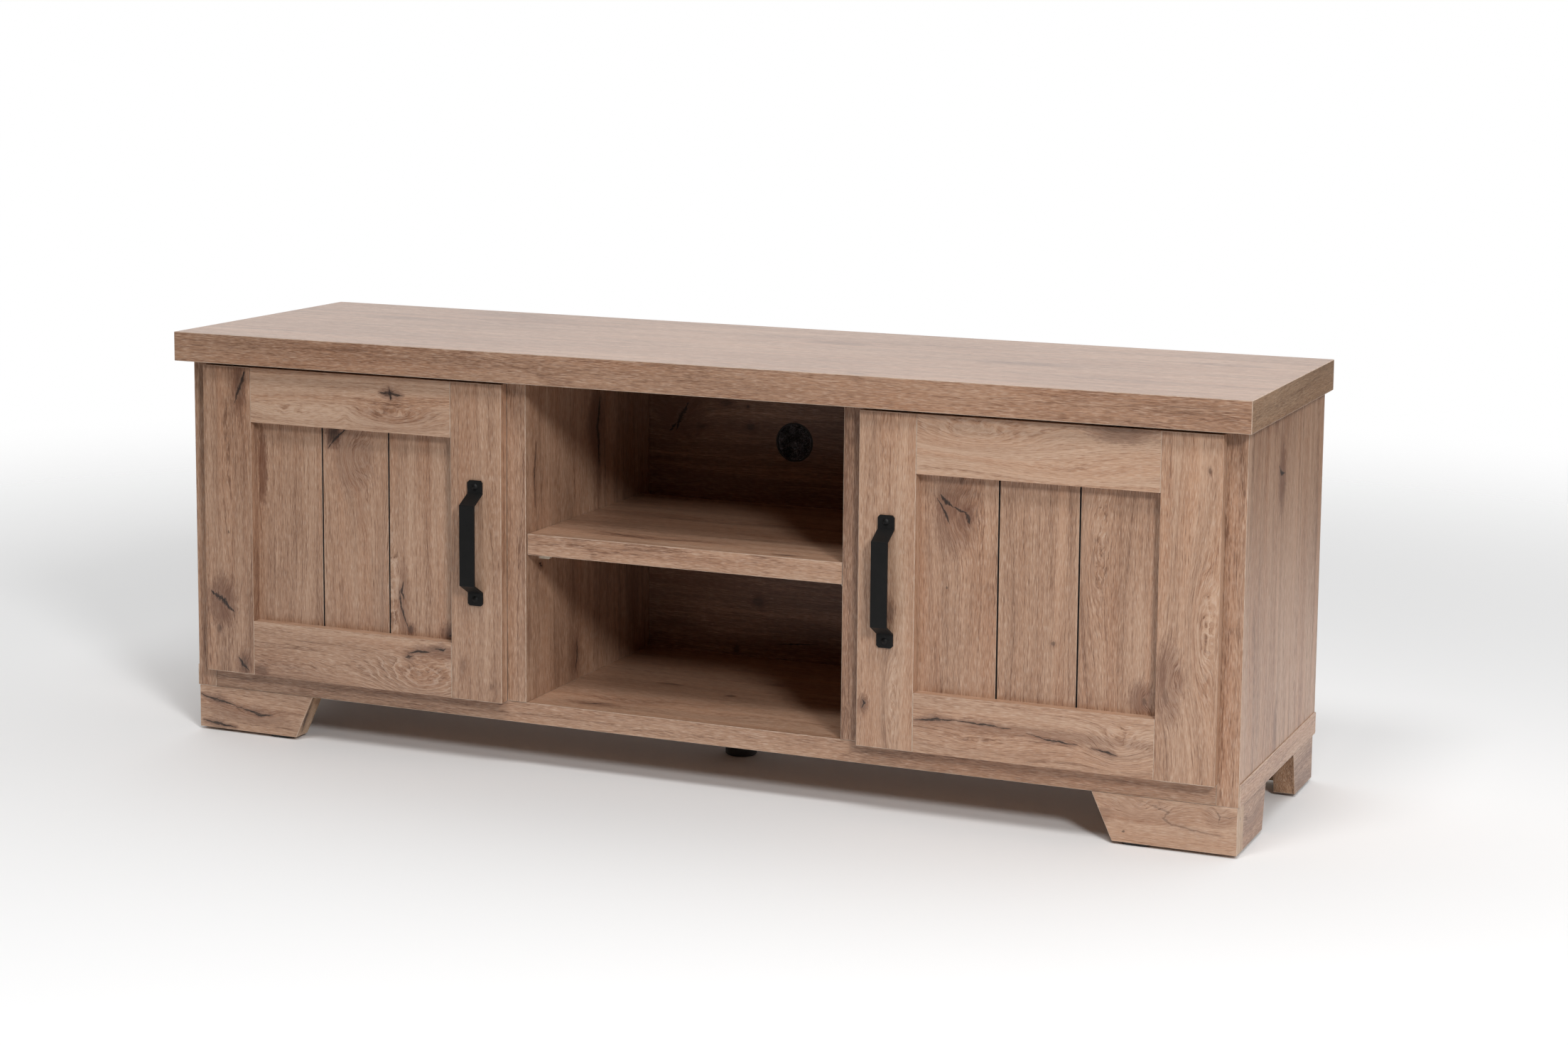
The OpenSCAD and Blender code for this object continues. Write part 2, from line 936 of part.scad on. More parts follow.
centre_foot_screws();
cable_ring();
cable_brush();
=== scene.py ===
import math
import random

import bmesh
import bpy
from mathutils import Euler, Matrix, Vector


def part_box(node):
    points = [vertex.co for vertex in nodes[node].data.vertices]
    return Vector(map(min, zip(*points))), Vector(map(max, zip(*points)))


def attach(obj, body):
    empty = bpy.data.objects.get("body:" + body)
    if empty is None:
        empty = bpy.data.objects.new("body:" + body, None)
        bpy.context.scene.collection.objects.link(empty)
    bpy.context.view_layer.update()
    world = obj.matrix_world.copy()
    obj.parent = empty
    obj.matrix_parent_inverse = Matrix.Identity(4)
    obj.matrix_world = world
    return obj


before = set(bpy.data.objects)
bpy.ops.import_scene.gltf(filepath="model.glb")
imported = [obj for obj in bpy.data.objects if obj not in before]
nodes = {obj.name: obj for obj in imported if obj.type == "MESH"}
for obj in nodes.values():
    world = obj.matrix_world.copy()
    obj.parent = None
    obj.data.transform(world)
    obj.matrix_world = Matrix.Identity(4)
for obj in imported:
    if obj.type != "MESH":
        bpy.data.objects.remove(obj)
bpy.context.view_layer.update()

MM = 0.001
scene = bpy.context.scene
draws = random.Random(7)

# ---- Camera: to the right of the cabinet and a little above it, tilted down, with a shifted lens

CAMERA_PLACE = Vector((1.570, -3.519, 1.0356))
CAMERA_YAW = math.radians(23.13)
CAMERA_PITCH = math.radians(-7.41)
CAMERA_ROLL = math.radians(0.49)
CAMERA_LENS = 67.02
CAMERA_SHIFT_Y = -0.100
CAMERA_SENSOR = 36
CAMERA_SIGHT = 60


def make_camera():
    data = bpy.data.cameras.new("camera")
    camera = bpy.data.objects.new("camera", data)
    scene.collection.objects.link(camera)
    aim = Euler((math.pi / 2 + CAMERA_PITCH, 0, CAMERA_YAW)).to_matrix()
    turned = aim @ Matrix.Rotation(CAMERA_ROLL, 3, "Z")
    camera.matrix_world = Matrix.Translation(CAMERA_PLACE) @ turned.to_4x4()
    data.sensor_width = CAMERA_SENSOR
    data.lens = CAMERA_LENS
    data.shift_y = CAMERA_SHIFT_Y
    data.clip_end = CAMERA_SIGHT
    scene.camera = camera


# ---- Node trees: every input of these calls may be a plain value or another node's output

class Tree:
    def __init__(self, tree):
        self.tree = tree

    def node(self, kind, **settings):
        made = self.tree.nodes.new(kind)
        for name, value in settings.items():
            setattr(made, name, value)
        return made

    def put(self, socket, value):
        if isinstance(value, bpy.types.NodeSocket):
            self.tree.links.new(value, socket)
        else:
            socket.default_value = value

    def maths(self, operation, *values, clamp=False):
        made = self.node("ShaderNodeMath", operation=operation, use_clamp=clamp)
        for socket, value in zip(made.inputs, values):
            self.put(socket, value)
        return made.outputs[0]

    def plus(self, a, b):
        return self.maths("ADD", a, b)

    def minus(self, a, b):
        return self.maths("SUBTRACT", a, b)

    def times(self, a, b):
        return self.maths("MULTIPLY", a, b)

    def scaled(self, value, factor):
        made = self.node("ShaderNodeVectorMath", operation="SCALE")
        self.put(made.inputs[0], value)
        self.put(made.inputs["Scale"], factor)
        return made.outputs[0]

    def vector(self, operation, *values):
        made = self.node("ShaderNodeVectorMath", operation=operation)
        sockets = [s for s in made.inputs if s.name != "Scale"]
        for socket, value in zip(sockets, values):
            self.put(socket, value)
        gives_number = operation in ("LENGTH", "DISTANCE", "DOT_PRODUCT")
        return made.outputs["Value" if gives_number else "Vector"]

    def combine(self, x, y, z):
        made = self.node("ShaderNodeCombineXYZ")
        for socket, value in zip(made.inputs, (x, y, z)):
            self.put(socket, value)
        return made.outputs[0]

    def split(self, value):
        made = self.node("ShaderNodeSeparateXYZ")
        self.put(made.inputs[0], value)
        return made.outputs

    def noise(self, place, scale=1.0, detail=2.0, rough=0.5):
        made = self.node("ShaderNodeTexNoise")
        self.put(made.inputs["Vector"], place)
        self.put(made.inputs["Scale"], scale)
        self.put(made.inputs["Detail"], detail)
        self.put(made.inputs["Roughness"], rough)
        return made.outputs[0]

    def span(self, value, low, high, to_low=0.0, to_high=1.0, smooth=False):
        made = self.node("ShaderNodeMapRange")
        made.interpolation_type = "SMOOTHSTEP" if smooth else "LINEAR"
        for name, given in (("Value", value), ("From Min", low), ("From Max", high),
                            ("To Min", to_low), ("To Max", to_high)):
            self.put(made.inputs[name], given)
        return made.outputs["Result"]

    def blend(self, factor, a, b, kind="MIX"):
        made = self.node("ShaderNodeMix", data_type="RGBA", blend_type=kind)
        self.put(made.inputs["Factor"], factor)
        colours = [s for s in made.inputs if s.identifier in ("A_Color", "B_Color")]
        self.put(colours[0], a)
        self.put(colours[1], b)
        return [s for s in made.outputs if s.type == "RGBA"][0]

    def bump(self, height, strength, distance):
        made = self.node("ShaderNodeBump")
        self.put(made.inputs["Height"], height)
        made.inputs["Strength"].default_value = strength
        made.inputs["Distance"].default_value = distance
        return made.outputs[0]


def new_group(name, inputs, outputs):
    tree = bpy.data.node_groups.new(name, "ShaderNodeTree")
    for label, kind in inputs:
        tree.interface.new_socket(label, in_out="INPUT", socket_type=kind)
    for label, kind in outputs:
        tree.interface.new_socket(label, in_out="OUTPUT", socket_type=kind)
    t = Tree(tree)
    return t, t.node("NodeGroupInput").outputs, t.node("NodeGroupOutput").inputs


NUMBER, VECTOR, COLOUR = "NodeSocketFloat", "NodeSocketVector", "NodeSocketColor"


def new_material(name):
    material = bpy.data.materials.new(name)
    material.use_nodes = True
    return material, Tree(material.node_tree), material.node_tree.nodes["Principled BSDF"].inputs


# ---- Oak: a laminate with a printed limed oak. Along, across and depth are measured in metres

# Noise cells per metre across the grain, along it and into the board
SLOW_CELLS = (10.0, 2.6, 9.0)
QUICK_CELLS = (55.0, 14.0, 40.0)
FINE_CELLS = (1250.0, 75.0, 1150.0)
STREAK_CELLS = (480.0, 15.0, 450.0)
PORE_CELLS = (1480.0, 95.0, 1400.0)
GAP_CELLS = (1300.0, 68.0, 1250.0)
BAND_CELLS = (60.0, 2.0, 56.0)
WARM_CELLS = (30.0, 1.6, 24.0)
PATCH_CELLS = (9.0, 3.4, 9.0)
LINE_CELLS = (110.0, 1.3, 40.0)
JAG_CELLS = (170.0, 60.0, 90.0)

RINGS_PER_METRE = 185.0
SLOW_WAVE, QUICK_WAVE, JAG = 0.030, 0.004, 0.0045

OAK_DARK = (0.185, 0.092, 0.054, 1)
OAK_MIDDLE = (0.410, 0.238, 0.150, 1)
OAK_PALE = (0.600, 0.405, 0.285, 1)
OAK_WARMTH = (1.0, 0.92, 0.86, 1)
LIME = (0.64, 0.475, 0.37, 1)
STAIN_BROWN = (0.156, 0.068, 0.040, 1)
HEART_BROWN = (0.060, 0.034, 0.024, 1)
CRACK_BLACK = (0.022, 0.014, 0.011, 1)
GROOVE_BLACK = (0.010, 0.009, 0.009, 1)


def knot_group():
    """A bump in the field that the grain lines follow, with its dark heart and its stained surround."""
    t, give, take = new_group(
        "oak_knot",
        (("Place", VECTOR), ("Ragged", NUMBER), ("Centre", VECTOR), ("Reach", VECTOR), ("Push", NUMBER),
         ("Heart", NUMBER), ("Stain", NUMBER), ("Rings", NUMBER)),
        (("Push", NUMBER), ("Heart", NUMBER), ("Stain", NUMBER), ("Rings", NUMBER)))
    away = t.vector("DIVIDE", t.vector("SUBTRACT", give["Place"], give["Centre"]), give["Reach"])
    flat = t.split(away)
    far = t.plus(t.times(flat["X"], flat["X"]), t.times(flat["Y"], flat["Y"]))
    torn = t.times(far, t.span(give["Ragged"], 0.30, 0.70, 0.45, 1.75))
    fall = t.maths("EXPONENT", t.times(far, -1.0))
    t.put(take["Push"], t.times(fall, give["Push"]))
    t.put(take["Heart"], t.times(t.span(torn, 0.80, 0.20, smooth=True), give["Heart"]))
    t.put(take["Stain"], t.times(t.span(torn, 2.9, 0.3, smooth=True), give["Stain"]))
    t.put(take["Rings"], t.times(t.span(far, 2.4, 0.8, smooth=True), give["Rings"]))
    return t.tree


def crack_group():
    """A torn dark line from one point to another, with a stain round it and a pale rim beside it, a
    painted highlight.
    """
    t, give, take = new_group(
        "oak_crack",
        (("Place", VECTOR), ("Ragged", NUMBER), ("Start", VECTOR), ("End", VECTOR), ("Reach", NUMBER),
         ("Last reach", NUMBER), ("Dark", NUMBER)),
        (("Crack", NUMBER), ("Stain", NUMBER), ("Painted highlight", NUMBER)))
    run = t.vector("SUBTRACT", give["End"], give["Start"])
    step = t.vector("SUBTRACT", give["Place"], give["Start"])
    share = t.maths("DIVIDE", t.vector("DOT_PRODUCT", step, run), t.vector("DOT_PRODUCT", run, run),
                    clamp=True)
    away = t.vector("DISTANCE", step, t.scaled(run, share))
    reach = t.times(t.span(share, 0.0, 1.0, give["Reach"], give["Last reach"]),
                    t.span(give["Ragged"], 0.32, 0.66, 0.30, 1.70))
    line = t.span(away, t.times(reach, 1.8), t.times(reach, 0.5), smooth=True)
    t.put(take["Crack"], t.times(line, give["Dark"]))
    soft = t.plus(t.times(reach, 6.0), 3.0 * MM)
    t.put(take["Stain"], t.times(t.span(away, soft, reach, 0.0, 0.75, smooth=True), give["Dark"]))
    # The pale rim beside the crack is a painted highlight, standing for light caught on the crack's edge.
    highlight_outside = t.span(away, t.times(reach, 3.4), t.times(reach, 2.4))
    highlight_inside = t.span(away, t.times(reach, 1.5), t.times(reach, 2.2))
    t.put(take["Painted highlight"], t.times(highlight_outside, highlight_inside))
    return t.tree


def grain_group():
    """Colour, roughness and height of the print, from a place and what the board's knots do there."""
    t, give, take = new_group(
        "oak_grain",
        (("Place", VECTOR), ("Push", NUMBER), ("Heart", NUMBER), ("Stain", NUMBER), ("Crack", NUMBER),
         ("Painted highlight", NUMBER), ("Rings", NUMBER), ("Tone", NUMBER), ("Wave", NUMBER), ("Figure", NUMBER)),
        (("Colour", COLOUR), ("Roughness", NUMBER), ("Height", NUMBER)))
    u, v, w = t.split(give["Place"])

    def stretched(cells, sideways):
        across, along, depth = cells
        return t.combine(t.times(u, along), t.times(sideways, across), t.times(w, depth))

    slow = t.minus(t.noise(stretched(SLOW_CELLS, v), detail=1.0), 0.5)
    quick = t.minus(t.noise(stretched(QUICK_CELLS, v), detail=1.0), 0.5)
    bend = t.plus(t.times(slow, t.times(give["Wave"], SLOW_WAVE)),
                  t.times(quick, t.times(give["Wave"], QUICK_WAVE)))
    field = t.plus(t.plus(v, give["Push"]), bend)
    fibre = t.plus(t.times(field, 0.6), t.times(v, 0.4))
    fine = t.noise(stretched(FINE_CELLS, fibre), detail=2.0, rough=0.6)
    streak = t.noise(stretched(STREAK_CELLS, fibre), detail=3.0, rough=0.6)
    pores = t.span(t.noise(stretched(PORE_CELLS, fibre), detail=1.0), 0.50, 0.66)
    gaps = t.span(t.noise(stretched(GAP_CELLS, fibre), 1.13, detail=1.0), 0.46, 0.32)
    bands = t.noise(stretched(BAND_CELLS, field), detail=3.0, rough=0.6)
    warm = t.noise(stretched(WARM_CELLS, field), 1.37, detail=2.0)
    patch = t.noise(stretched(PATCH_CELLS, v), detail=1.0)
    ring = t.maths("ABSOLUTE", t.minus(t.noise(stretched(LINE_CELLS, field), detail=0.0), 0.5))
    line = t.times(t.span(ring, 0.030, 0.004), t.span(fine, 0.66, 0.40))
    jagged = t.plus(field, t.times(t.noise(stretched(JAG_CELLS, v), detail=2.0), JAG))
    lap = t.maths("FRACT", t.times(jagged, RINGS_PER_METRE))
    pale = t.times(t.span(lap, 0.0, 0.16), t.span(lap, 0.34, 0.17))
    shade = t.times(t.span(lap, 0.35, 1.0, 0.0, 0.16), give["Rings"])

    tone = t.minus(t.plus(give["Tone"], 0.5), shade)
    mottled = t.times(give["Figure"], 0.50)
    for part, amount in ((fine, 1.08), (streak, 0.66), (bands, give["Figure"]), (patch, mottled)):
        tone = t.plus(tone, t.times(t.minus(part, 0.5), amount))
    tone = t.minus(tone, t.times(line, t.times(give["Figure"], 0.34)))
    tone = t.minus(tone, t.times(gaps, 0.24))
    ramp = t.node("ShaderNodeValToRGB")
    stops = ramp.color_ramp.elements
    stops[0].position, stops[0].color = 0.0, OAK_DARK
    stops[1].position, stops[1].color = 1.0, OAK_PALE
    stops.new(0.5).color = OAK_MIDDLE
    t.put(ramp.inputs[0], tone)

    warmed = t.blend(t.span(warm, 0.45, 0.70), ramp.outputs[0], OAK_WARMTH, "MULTIPLY")
    whitened = t.maths("MAXIMUM", t.times(pores, t.span(tone, 0.1, 0.5, 0.16, 0.46)),
                       t.times(pale, t.times(give["Rings"], 0.52)))
    # The pale rim by the cracks is a painted highlight, lightened toward the lime colour.
    whitened = t.maths("MAXIMUM", whitened, t.times(give["Painted highlight"], 0.35))
    colour = t.blend(whitened, warmed, LIME)
    for mark, stain, flecks in (("Stain", STAIN_BROWN, (0.30, 0.70, 1.0, 0.66)),
                                ("Heart", HEART_BROWN, (0.30, 0.62, 1.0, 0.60)),
                                ("Crack", CRACK_BLACK, (0.40, 0.75, 1.0, 0.70))):
        colour = t.blend(t.times(give[mark], t.span(fine, *flecks)), colour, stain)
    t.put(take["Colour"], colour)
    t.put(take["Roughness"], t.span(fine, 0.3, 0.7, 0.42, 0.32))
    relief = t.plus(t.times(fine, 0.6), t.times(pores, -0.35))
    t.put(take["Height"], t.minus(relief, give["Crack"]))
    return t.tree


KNOT, CRACK, GRAIN = knot_group(), crack_group(), grain_group()
PUSH_SHARE = 0.62
THIN_END = 0.15


def mm(*values):
    return tuple(value * MM for value in values)


def knot(along, across, reach_along, reach_across, push=0.0, heart=0.0, stain=0.0, rings=0.0):
    """A knot's centre and reach, and how far it pushes the grain, in mm from the board's low corner."""
    return {"Centre": mm(along, across, 0), "Reach": (reach_along * MM, reach_across * MM, 1),
            "Push": PUSH_SHARE * push * MM, "Heart": heart, "Stain": stain, "Rings": rings}


def cracks(width, *points, dark=1.0):
    """A line through points (along, across), in mm from the board's low corner, thin at both ends."""
    if len(points) == 2:
        (a, b), (c, d) = points
        points = ((a, b), ((a + c) / 2, (b + d) / 2), (c, d))
    reach = [width * MM / 2] * len(points)
    reach[0] = reach[-1] = THIN_END * reach[0]
    return [{"Start": mm(*points[i], 0), "End": mm(*points[i + 1], 0), "Reach": reach[i],
             "Last reach": reach[i + 1], "Dark": dark}
            for i in range(len(points) - 1)]


AXES = {"X": 0, "Y": 1, "Z": 2}
END_HUE = (0.97, 1.03, 0.98, 1)
RAGGED_CELLS = (130.0, 380.0, 380.0)
WOBBLE_CELLS = 60.0
WOBBLE = (0.010, 0.006, 0.0)
END_FACING = 0.8

# How far the print moves on from one board to the next, and from one plank to the next
SEED_SHIFT = (0.731, 0.43, 0.19)
PLANK_SHIFT, PLANK_SHIFT_MORE, PLANK_SHIFT_ACROSS = 0.37, 0.21, 0.61


def board_place(t, here, facing, along, across, depth):
    """The place in the print, turned at a board's ends to show end grain, and where those ends are."""
    on_end = t.maths("GREATER_THAN", t.maths("ABSOLUTE", facing[along]), END_FACING)
    turn = t.node("ShaderNodeMix", data_type="VECTOR")
    t.put(turn.inputs["Factor"], on_end)
    vectors = [s for s in turn.inputs if s.identifier in ("A_Vector", "B_Vector")]
    t.put(vectors[0], t.combine(here[along], here[across], here[depth]))
    t.put(vectors[1], t.combine(here[across], here[depth], here[along]))
    return [s for s in turn.outputs if s.type == "VECTOR"][0], on_end


def print_shift(t, sideways, seed, planks):
    """The part of the print that this board shows, and on a grooved board each of its planks."""
    part = seed * SEED_SHIFT[0]
    for step, (edge, _) in enumerate(planks):
        past = t.maths("GREATER_THAN", sideways, edge)
        part = t.plus(part, t.times(past, PLANK_SHIFT + PLANK_SHIFT_MORE * step))
    second = t.times(part, PLANK_SHIFT_ACROSS) if planks else seed * SEED_SHIFT[1]
    return t.combine(part, second, seed * SEED_SHIFT[2])


def marks_at(t, place, spread, knots, lines):
    """What all the knots and cracks of a board do at a place. Their outlines wobble and fray."""
    shake = t.node("ShaderNodeTexNoise")
    t.put(shake.inputs["Vector"], spread)
    shake.inputs["Scale"].default_value = WOBBLE_CELLS
    shake.inputs["Detail"].default_value = 4.0
    centred = t.vector("SUBTRACT", shake.outputs["Color"], (0.5, 0.5, 0.5))
    flat = t.vector("ADD", t.vector("MULTIPLY", place, (1, 1, 0)), t.vector("MULTIPLY", centred, WOBBLE))
    ragged = t.noise(t.vector("MULTIPLY", spread, RAGGED_CELLS), 1.0, 3.0, 0.65)
    totals = {"Push": 0.0, "Heart": 0.0, "Stain": 0.0, "Rings": 0.0, "Crack": 0.0, "Painted highlight": 0.0}
    for group, marks in ((KNOT, knots), (CRACK, lines)):
        for each in marks:
            made = t.node("ShaderNodeGroup", node_tree=group)
            t.put(made.inputs["Place"], flat)
            t.put(made.inputs["Ragged"], ragged)
            for label, value in each.items():
                t.put(made.inputs[label], value)
            for output in made.outputs:
                join = "ADD" if output.name == "Push" else "MAXIMUM"
                totals[output.name] = t.maths(join, totals[output.name], output)
    return totals


def oak(board, grain, seed, tone=0.0, wave=1.0, figure=1.0, gloss=0.0, knots=(), lines=(), planks=(),
        groove=(), corner=None):
    """The oak of one board. grain names its along and across axes, such as "ZX"."""
    material, t, shader = new_material("oak_" + board)
    along, across = (AXES[a] for a in grain)
    depth = 3 - along - across
    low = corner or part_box(board)[0]
    found = t.node("ShaderNodeTexCoord")
    here = t.split(t.vector("SUBTRACT", found.outputs["Object"], tuple(low)))
    facing = t.split(found.outputs["Normal"])
    place, on_end = board_place(t, here, facing, along, across, depth)
    spread = t.vector("ADD", place, print_shift(t, here[across], seed, planks))
    for edge, shade in planks:
        tone = t.plus(tone, t.times(t.maths("GREATER_THAN", here[across], edge), shade))
    printed = t.node("ShaderNodeGroup", node_tree=GRAIN)
    looks = {"Place": spread, "Tone": tone, "Wave": wave, "Figure": figure}
    looks.update(marks_at(t, place, spread, knots, lines))
    for label, value in looks.items():
        t.put(printed.inputs[label], value)
    colour = t.blend(on_end, printed.outputs["Colour"], END_HUE, "MULTIPLY")
    if groove:
        shallow, deep = groove
        inside = t.times(t.maths("GREATER_THAN", here[depth], shallow),
                         t.maths("LESS_THAN", here[depth], deep))
        colour = t.blend(inside, colour, GROOVE_BLACK)
    t.put(shader["Base Color"], colour)
    t.put(shader["Roughness"], printed.outputs["Roughness"])
    t.put(shader["Normal"], t.bump(printed.outputs["Height"], 0.30, 0.25 * MM))
    shader["Coat Weight"].default_value = gloss
    shader["Coat Roughness"].default_value = 0.28
    return material


def oak_edge():
    """The pale line along a board's eased edge, a painted highlight."""
    material, t, shader = new_material("oak_edge")
    place = t.node("ShaderNodeTexCoord").outputs["Object"]
    mottle = t.noise(place, 90.0, 3.0, 0.6)
    t.put(shader["Base Color"],
          t.blend(t.span(mottle, 0.35, 0.65), (0.43, 0.29, 0.205, 1), (0.60, 0.46, 0.36, 1)))
    t.put(shader["Roughness"], t.span(mottle, 0.3, 0.7, 0.45, 0.6))
    t.put(shader["Normal"], t.bump(mottle, 0.2, 0.1 * MM))
    return material


# ---- Other materials

def speckled(name, dark, light, scale, rough, bump, metal=0.0, low=0.35, high=0.65):
    """A plain surface with a fine mottle in its colour, its gloss and its relief."""
    material, t, shader = new_material(name)
    place = t.node("ShaderNodeTexCoord").outputs["Object"]
    fine = t.noise(place, scale, 4.0, 0.65)
    broad = t.noise(place, scale * 0.08, 2.0)
    mixed = t.plus(t.times(fine, 0.65), t.times(broad, 0.35))
    t.put(shader["Base Color"], t.blend(t.span(mixed, low, high), dark, light))
    t.put(shader["Roughness"], t.span(mixed, low, high, rough[0], rough[1]))
    t.put(shader["Normal"], t.bump(fine, bump, 0.05 * MM))
    shader["Metallic"].default_value = metal
    return material


def black_metal():
    material = speckled("black_metal", (0.004, 0.004, 0.004, 1), (0.010, 0.0095, 0.009, 1), 900.0,
                        (0.42, 0.58), 0.5)
    shader = material.node_tree.nodes["Principled BSDF"].inputs
    shader["Specular IOR Level"].default_value = 0.22
    return material


def steel():
    return speckled("steel", (0.42, 0.41, 0.40, 1), (0.62, 0.61, 0.59, 1), 500.0,
                    (0.24, 0.38), 0.25, metal=1.0)


def black_plastic():
    return speckled("black_plastic", (0.012, 0.012, 0.012, 1), (0.030, 0.030, 0.030, 1), 700.0,
                    (0.45, 0.6), 0.35)


def cream_plastic():
    return speckled("cream_plastic", (0.78, 0.70, 0.56, 1), (0.88, 0.81, 0.67, 1), 300.0,
                    (0.35, 0.48), 0.15)


def black_bristle():
    # The bluish-grey flecks on the black bristles are painted glints.
    return speckled("black_bristle", (0.012, 0.013, 0.016, 1), (0.42, 0.45, 0.52, 1), 620.0,
                    (0.35, 0.6), 0.3, low=0.46, high=0.68)


def raw_wood():
    """Bare beech of the dowels and blocks."""
    material, t, shader = new_material("raw_wood")
    place = t.vector("MULTIPLY", t.node("ShaderNodeTexCoord").outputs["Object"], (60.0, 400.0, 400.0))
    fibre = t.noise(place, 1.0, 3.0, 0.6)
    t.put(shader["Base Color"],
          t.blend(t.span(fibre, 0.3, 0.7), (0.47, 0.31, 0.18, 1), (0.66, 0.50, 0.33, 1)))
    t.put(shader["Roughness"], t.span(fibre, 0.3, 0.7, 0.62, 0.75))
    t.put(shader["Normal"], t.bump(fibre, 0.3, 0.1 * MM))
    return material


# ---- Eased edges: long sharp outer edges get a small round, on boards in the paler edge material, which paints a highlight along them

LEAST_EASED = 6 * MM
WELD = 0.001 * MM
SHARP = math.radians(25)


def mark_long_edges():
    """A node group that welds the mesh and gives a bevel weight to its long sharp outer edges."""
    group = bpy.data.node_groups.new("mark_long_edges", "GeometryNodeTree")
    group.interface.new_socket("Geometry", in_out="INPUT", socket_type="NodeSocketGeometry")
    least = group.interface.new_socket("Least", in_out="INPUT", socket_type="NodeSocketFloat")
    least.default_value = LEAST_EASED
    group.interface.new_socket("Geometry", in_out="OUTPUT", socket_type="NodeSocketGeometry")
    new, link = group.nodes.new, group.links.new
    start, end = new("NodeGroupInput"), new("NodeGroupOutput")
    weld = new("GeometryNodeMergeByDistance")
    weld.inputs["Distance"].default_value = WELD
    forget = new("GeometryNodeRemoveAttribute")
    forget.inputs["Name"].default_value = "custom_normal"
    ends = new("GeometryNodeInputMeshEdgeVertices")
    span = new("ShaderNodeVectorMath")
    span.operation = "DISTANCE"
    angle = new("GeometryNodeInputMeshEdgeAngle")
    is_long, is_sharp = new("FunctionNodeCompare"), new("FunctionNodeCompare")
    both = new("FunctionNodeBooleanMath")
    is_sharp.inputs["B"].default_value = SHARP
    store = new("GeometryNodeStoreNamedAttribute")
    store.domain = "EDGE"
    store.data_type = "FLOAT"
    store.inputs["Name"].default_value = "bevel_weight_edge"
    link(start.outputs["Geometry"], weld.inputs["Geometry"])
    link(weld.outputs["Geometry"], forget.inputs["Geometry"])
    link(ends.outputs["Position 1"], span.inputs[0])
    link(ends.outputs["Position 2"], span.inputs[1])
    link(span.outputs["Value"], is_long.inputs["A"])
    link(start.outputs["Least"], is_long.inputs["B"])
    link(angle.outputs["Signed Angle"], is_sharp.inputs["A"])
    link(is_long.outputs["Result"], both.inputs[0])
    link(is_sharp.outputs["Result"], both.inputs[1])
    link(forget.outputs["Geometry"], store.inputs["Geometry"])
    link(both.outputs["Boolean"], store.inputs["Value"])
    link(store.outputs["Geometry"], end.inputs["Geometry"])
    return group


MARK_EDGES = mark_long_edges()
MATERIALS = {"edge": oak_edge(), "black_metal": black_metal(), "steel": steel(),
             "black_plastic": black_plastic(), "cream_plastic": cream_plastic(),
             "black_bristle": black_bristle(), "raw_wood": raw_wood()}
EASE_SEGMENTS = 2
EDGE_SLOT, SAME_SLOT = 1, -1


def ease_edges(obj, width, slot):
    marks = obj.modifiers.new("mark", "NODES")
    marks.node_group = MARK_EDGES
    bevel = obj.modifiers.new("ease", "BEVEL")
    bevel.width = width
    bevel.segments = EASE_SEGMENTS
    bevel.limit_method = "WEIGHT"
    bevel.use_clamp_overlap = False
    bevel.material = slot
    smooth = obj.modifiers.new("normals", "WEIGHTED_NORMAL")
    smooth.keep_sharp = True


def finish_board(board, grain, seed, ease=0.7, **looks):
    obj = nodes[board]
    obj.data.materials.clear()
    obj.data.materials.append(oak(board, grain, seed, **looks))
    obj.data.materials.append(MATERIALS["edge"])
    ease_edges(obj, ease * MM, EDGE_SLOT)


def finish_part(part, material, ease=0.0):
    obj = nodes[part]
    obj.data.materials.clear()
    obj.data.materials.append(MATERIALS[material])
    if ease:
        ease_edges(obj, ease * MM, SAME_SLOT)


# ---- Boards of the doors. Places are along and across the grain from the board's low corner, in mm.
# A knot is: along, across, reach along, reach across, push, then the strength of heart, stain and rings

# The depths into the door's board between which its surface is the dark wall of a groove
GROOVE = (0.3 * MM, 3 * MM)
PLANK = (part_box("door_stile_inner_left")[0].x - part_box("door_stile_outer_left")[1].x) / 3


def pane_corner(side, first_stile):
    """The low corner of a door's open pane, on the front face of its grooved board."""
    return Vector((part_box(f"door_stile_{first_stile}_{side}")[1].x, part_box("door_panel_" + side)[0].y,
                   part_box("door_rail_bottom_" + side)[1].z))


